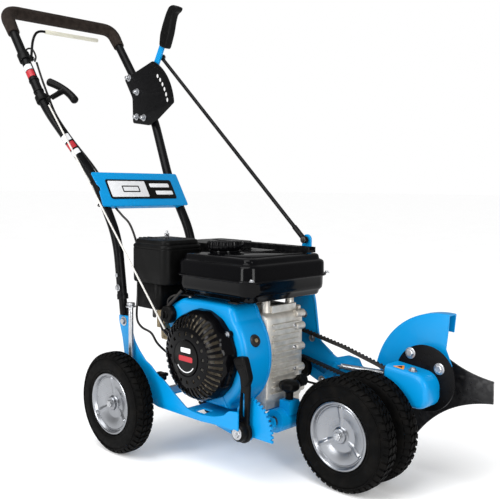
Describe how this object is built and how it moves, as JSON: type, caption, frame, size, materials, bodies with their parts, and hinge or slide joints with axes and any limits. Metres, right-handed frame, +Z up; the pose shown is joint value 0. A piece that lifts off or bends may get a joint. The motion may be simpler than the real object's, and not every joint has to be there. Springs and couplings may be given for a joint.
{
  "type": "walk-behind lawn edger",
  "caption": "Walk-behind lawn edger: engine on a wheeled frame, a folded tube handle, and a belt-driven blade on a boom that a hand lever raises and lowers.",
  "frame": {"origin": "on the ground, under the middle of the machine's box", "axes": "+X forwards, +Y to the machine's left, where the blade is, +Z up"},
  "size_m": [1.1858, 0.4216, 1.052],
  "materials": {
    "blue_paint": "gloss powder coat",
    "black_paint": "satin powder coat",
    "black_shell": "gloss black moulding",
    "black_plastic": "fine grained moulding",
    "tyre_rubber": "moulded tread",
    "black_rubber": "satin",
    "grip_foam": "soft foam",
    "zinc_steel": "zinc plated",
    "rim_silver": "silver paint",
    "cast_aluminium": "as cast",
    "blade_steel": "ground dark steel",
    "brass_casting": "dull casting",
    "cream_sleeve": "smooth sleeve",
    "rope_fibre": "braided cord"
  },
  "bodies": {
    "frame": {"side_plate_right": "blue_paint", "side_plate_left": "blue_paint", "engine_deck": "blue_paint", "height_sector": "blue_paint", "support_rod": "zinc_steel", "rear_axle": "zinc_steel", "handle_stub_right": "black_paint", "handle_stub_left": "black_paint", "handle_bar": "black_paint", "foam_grip": "grip_foam", "badge_panel": "blue_paint", "bail_bracket": "black_plastic", "clutch_cable": "black_rubber", "rope_guide": "black_plastic", "starter_rope": "rope_fibre", "depth_quadrant": "black_paint", "crankcase": "cast_aluminium", "crankcase_cover": "cast_aluminium", "cylinder": "cast_aluminium", "fan_shroud": "blue_paint", "recoil_cover": "black_shell", "fuel_tank": "black_shell", "air_filter": "black_plastic", "carburettor": "brass_casting", "muffler_guard": "black_paint"},
    "rear_right_wheel": {"tyre_rear_right": "tyre_rubber", "rim_rear_right": "rim_silver"},
    "rear_left_wheel": {"tyre_rear_left": "tyre_rubber", "rim_rear_left": "rim_silver"},
    "front_arm": {"height_shaft": "zinc_steel", "wheel_arm": "blue_paint", "height_lever": "black_plastic", "front_axle": "zinc_steel"},
    "front_right_wheel": {"tyre_front_right": "tyre_rubber", "rim_front_right": "rim_silver"},
    "front_left_wheel": {"tyre_front_left": "tyre_rubber", "rim_front_left": "rim_silver"},
    "height_lock": {"lock_knob": "black_plastic"},
    "starter_grip": {"starter_handle": "black_plastic"},
    "bail": {"clutch_bail": "cream_sleeve"},
    "depth_control": {"depth_lever": "blue_paint", "depth_lever_grip": "black_plastic"},
    "depth_link": {"depth_rod": "black_paint"},
    "cutting_boom": {"boom": "blue_paint", "head_plate": "black_paint", "blade_guard": "blue_paint", "belt_cover": "blue_paint", "drive_belt": "black_rubber", "idler_spring": "zinc_steel"},
    "idler": {"idler_arm": "blue_paint"},
    "idler_wheel": {"idler_roller": "black_plastic"},
    "crank": {"crankshaft": "cast_aluminium", "drive_pulley": "cast_aluminium"},
    "cutter": {"spindle": "zinc_steel", "driven_pulley": "cast_aluminium", "blade": "blade_steel"},
    "fuel_filler_cap": {"fuel_cap": "black_plastic"},
    "filter_nut": {"wing_nut": "zinc_steel"},
    "oil_filler_cap": {"oil_cap": "black_plastic"},
    "ignition_switch": {"engine_switch": "black_plastic"}
  },
  "joints": [
    {"name": "rear_right_roll", "type": "hinge", "parent": "frame", "child": "rear_right_wheel", "pos_m": [-0.10054, -0.1855, 0.112], "axis": [0, 1, 0], "continuous": true},
    {"name": "rear_left_roll", "type": "hinge", "parent": "frame", "child": "rear_left_wheel", "pos_m": [-0.10054, 0.1345, 0.112], "axis": [0, 1, 0], "continuous": true},
    {"name": "front_height", "type": "hinge", "parent": "frame", "child": "front_arm", "pos_m": [0.23146, 0.0105, 0.112], "axis": [0, 1, 0], "range_deg": [0, 45]},
    {"name": "front_right_roll", "type": "hinge", "parent": "front_arm", "child": "front_right_wheel", "pos_m": [0.37946, 0.0085, 0.112], "axis": [0, 1, 0], "continuous": true},
    {"name": "front_left_roll", "type": "hinge", "parent": "front_arm", "child": "front_left_wheel", "pos_m": [0.37946, 0.0825, 0.112], "axis": [0, 1, 0], "continuous": true},
    {"name": "height_lock_turn", "type": "hinge", "parent": "front_arm", "child": "height_lock", "pos_m": [0.24146, 0.0035, 0.175], "axis": [0, 0, 1], "range_deg": [0, 360]},
    {"name": "starter_pull", "type": "slide", "parent": "frame", "child": "starter_grip", "axis": [-0.9016, 0.1002, 0.4208], "range_m": [0, 0.6], "stiffness_N_per_m": 20, "springref_m": -0.2},
    {"name": "bail_squeeze", "type": "hinge", "parent": "frame", "child": "bail", "pos_m": [-0.47854, -0.1735, 0.905], "axis": [0, 1, 0], "range_deg": [-35, 0], "stiffness_Nm_per_rad": 1.5, "springref_deg": 8.59},
    {"name": "depth_swing", "type": "hinge", "parent": "frame", "child": "depth_control", "pos_m": [-0.42054, 0.1145, 0.778], "axis": [0, 1, 0], "range_deg": [0, 45]},
    {"name": "depth_rod_swing", "type": "hinge", "parent": "depth_control", "child": "depth_link", "pos_m": [-0.33254, 0.1235, 0.93], "axis": [0, 1, 0], "range_deg": [-50, 0]},
    {"name": "boom_swing", "type": "hinge", "parent": "frame", "child": "cutting_boom", "pos_m": [0.10646, 0.1385, 0.243], "axis": [0, 1, 0], "range_deg": [0, 33], "deforming": ["clutch_cable"]},
    {"name": "idler_swing", "type": "hinge", "parent": "cutting_boom", "child": "idler", "pos_m": [0.22946, 0.1335, 0.168], "axis": [0, 1, 0], "range_deg": [0, 12], "deforming": ["drive_belt", "idler_spring"]},
    {"name": "idler_roll", "type": "hinge", "parent": "idler", "child": "idler_wheel", "pos_m": [0.17146, 0.1245, 0.187], "axis": [0, 1, 0], "continuous": true},
    {"name": "crank_spin", "type": "hinge", "parent": "frame", "child": "crank", "pos_m": [0.10646, -0.0095, 0.243], "axis": [0, 1, 0], "continuous": true},
    {"name": "cutter_spin", "type": "hinge", "parent": "cutting_boom", "child": "cutter", "pos_m": [0.46746, 0.1505, 0.199], "axis": [0, 1, 0], "continuous": true},
    {"name": "fuel_cap_turn", "type": "hinge", "parent": "frame", "child": "fuel_filler_cap", "pos_m": [0.07946, -0.0295, 0.466], "axis": [0, 0, 1], "range_deg": [0, 90]},
    {"name": "wing_nut_turn", "type": "hinge", "parent": "frame", "child": "filter_nut", "pos_m": [-0.05954, -0.0775, 0.483], "axis": [0, 0, 1], "range_deg": [0, 360]},
    {"name": "oil_cap_turn", "type": "hinge", "parent": "frame", "child": "oil_filler_cap", "pos_m": [0.22846, 0.0565, 0.181], "axis": [0.9363, 0, 0.3511], "range_deg": [0, 360]},
    {"name": "switch_turn", "type": "hinge", "parent": "frame", "child": "ignition_switch", "pos_m": [-0.00654, -0.1195, 0.313], "axis": [0, 1, 0], "range_deg": [0, 60]}
  ],
  "couplings": [
    {"joint": "depth_rod_swing", "follows": "depth_swing", "ratio": -1.093},
    {"joint": "boom_swing", "follows": "depth_swing", "ratio": 0.718},
    {"joint": "idler_swing", "follows": "bail_squeeze", "ratio": -0.34},
    {"joint": "idler_roll", "follows": "crank_spin", "ratio": -1.729},
    {"joint": "cutter_spin", "follows": "crank_spin", "ratio": 1.766}
  ]
}
